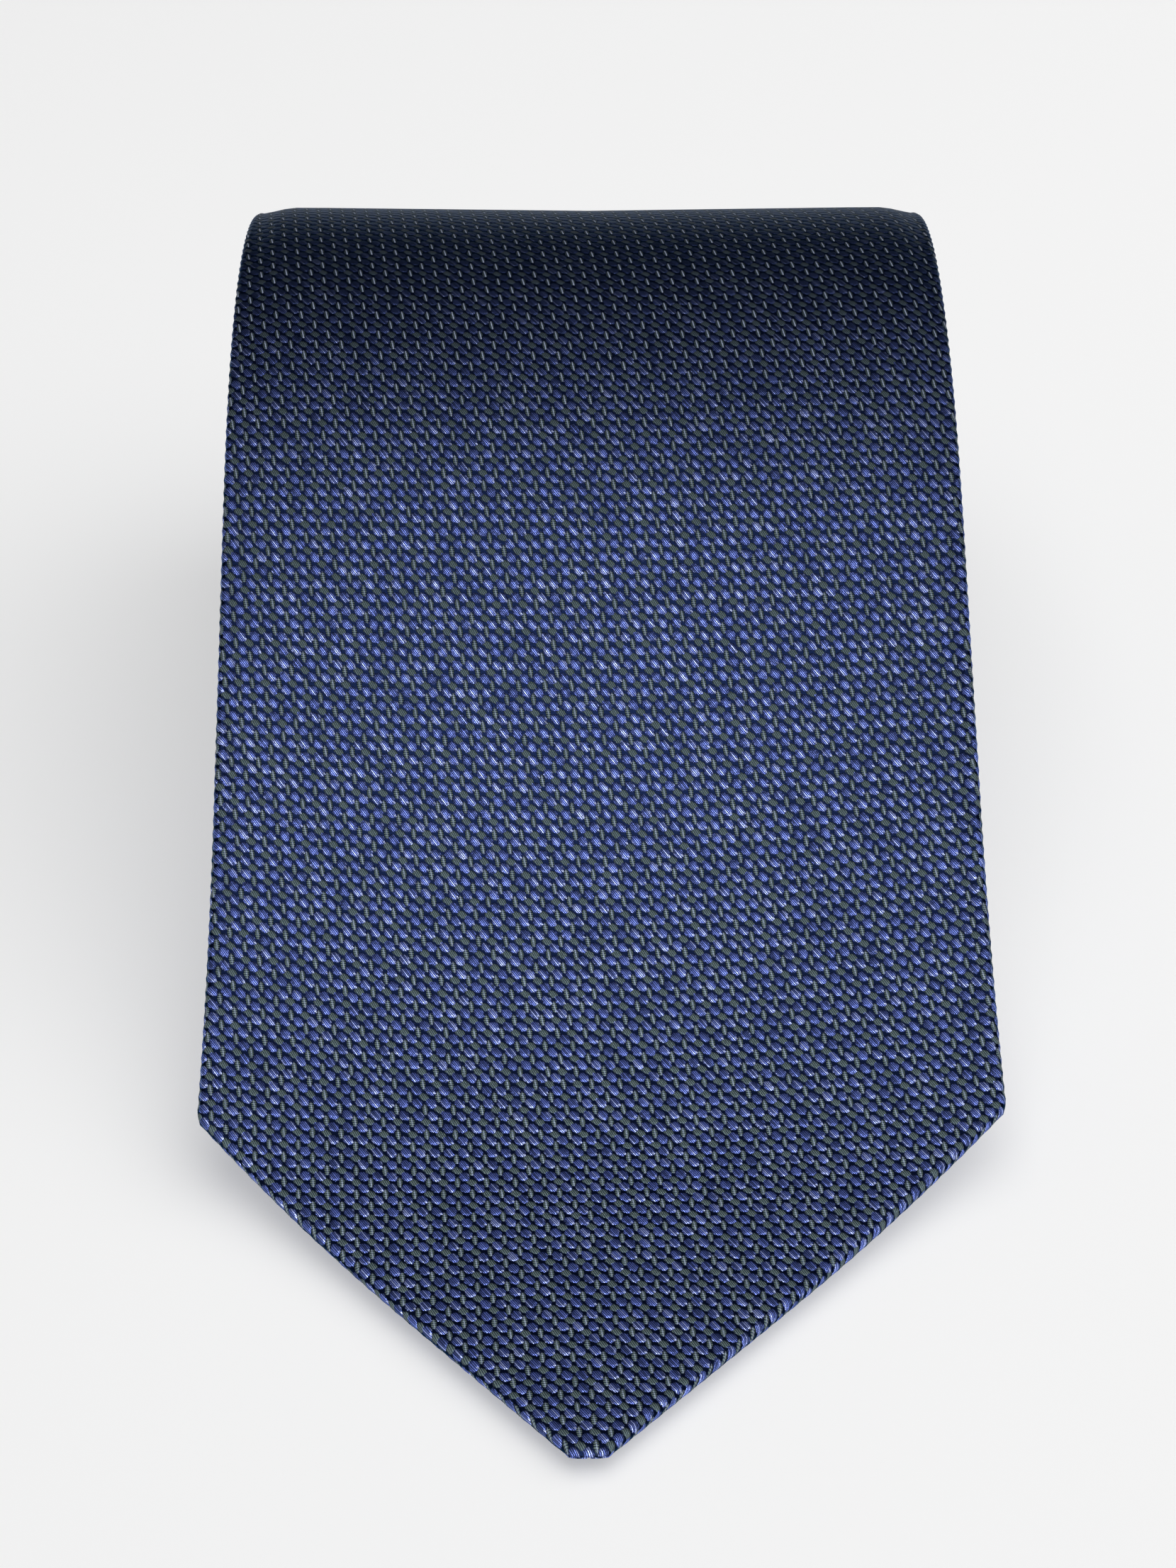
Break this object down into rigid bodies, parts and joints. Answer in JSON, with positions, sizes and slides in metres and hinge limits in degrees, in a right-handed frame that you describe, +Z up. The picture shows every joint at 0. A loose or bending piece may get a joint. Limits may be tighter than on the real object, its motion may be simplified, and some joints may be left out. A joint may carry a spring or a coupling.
{
  "type": "necktie",
  "caption": "Rolled necktie in a basket-weave silk, laid on its side with the pointed front blade sloping down to lie on the table.",
  "frame": {"origin": "middle of the base of the box that the rolled tie fills, on the table it lies on", "axes": "+X across the blade, +Y from the point of the front blade towards the back of the roll, +Z up"},
  "size_m": [0.08, 0.1738, 0.0546],
  "materials": {
    "woven_silk": "two-tone basket weave on the bias, royal blue and charcoal, soft silk sheen",
    "tipping_satin": "plain navy satin lining cloth",
    "interlining_wool": "brushed natural wool interlining",
    "sewing_thread": "twisted navy silk thread",
    "label_cloth": "blank satin-woven label",
    "care_tape": "blank white taffeta tape"
  },
  "bodies": {
    "roll": {"front_blade_rolled": "woven_silk", "neck_piece": "woven_silk", "tail_blade": "woven_silk", "front_neck_seam": "sewing_thread", "neck_tail_seam": "sewing_thread", "interlining_rolled": "interlining_wool", "interlining_tail": "interlining_wool", "tail_tipping": "tipping_satin", "tail_bar_tack": "sewing_thread", "slip_stitch_rolled": "sewing_thread"},
    "blade": {"front_blade_flap": "woven_silk", "interlining_flap": "interlining_wool", "blade_tipping": "tipping_satin", "blade_bar_tack": "sewing_thread", "slip_stitch_flap": "sewing_thread", "keeper_loop": "woven_silk", "maker_label": "label_cloth", "care_label": "care_tape", "keeper_stitch_left": "sewing_thread", "keeper_stitch_right": "sewing_thread", "label_stitch_left": "sewing_thread", "label_stitch_right": "sewing_thread", "care_label_stitch": "sewing_thread"}
  },
  "joints": [
    {"name": "blade_lift", "type": "hinge", "parent": "roll", "child": "blade", "pos_m": [0, 0.05193, 0.05459], "axis": [-1, 0, 0], "range_deg": [0, 80]}
  ]
}
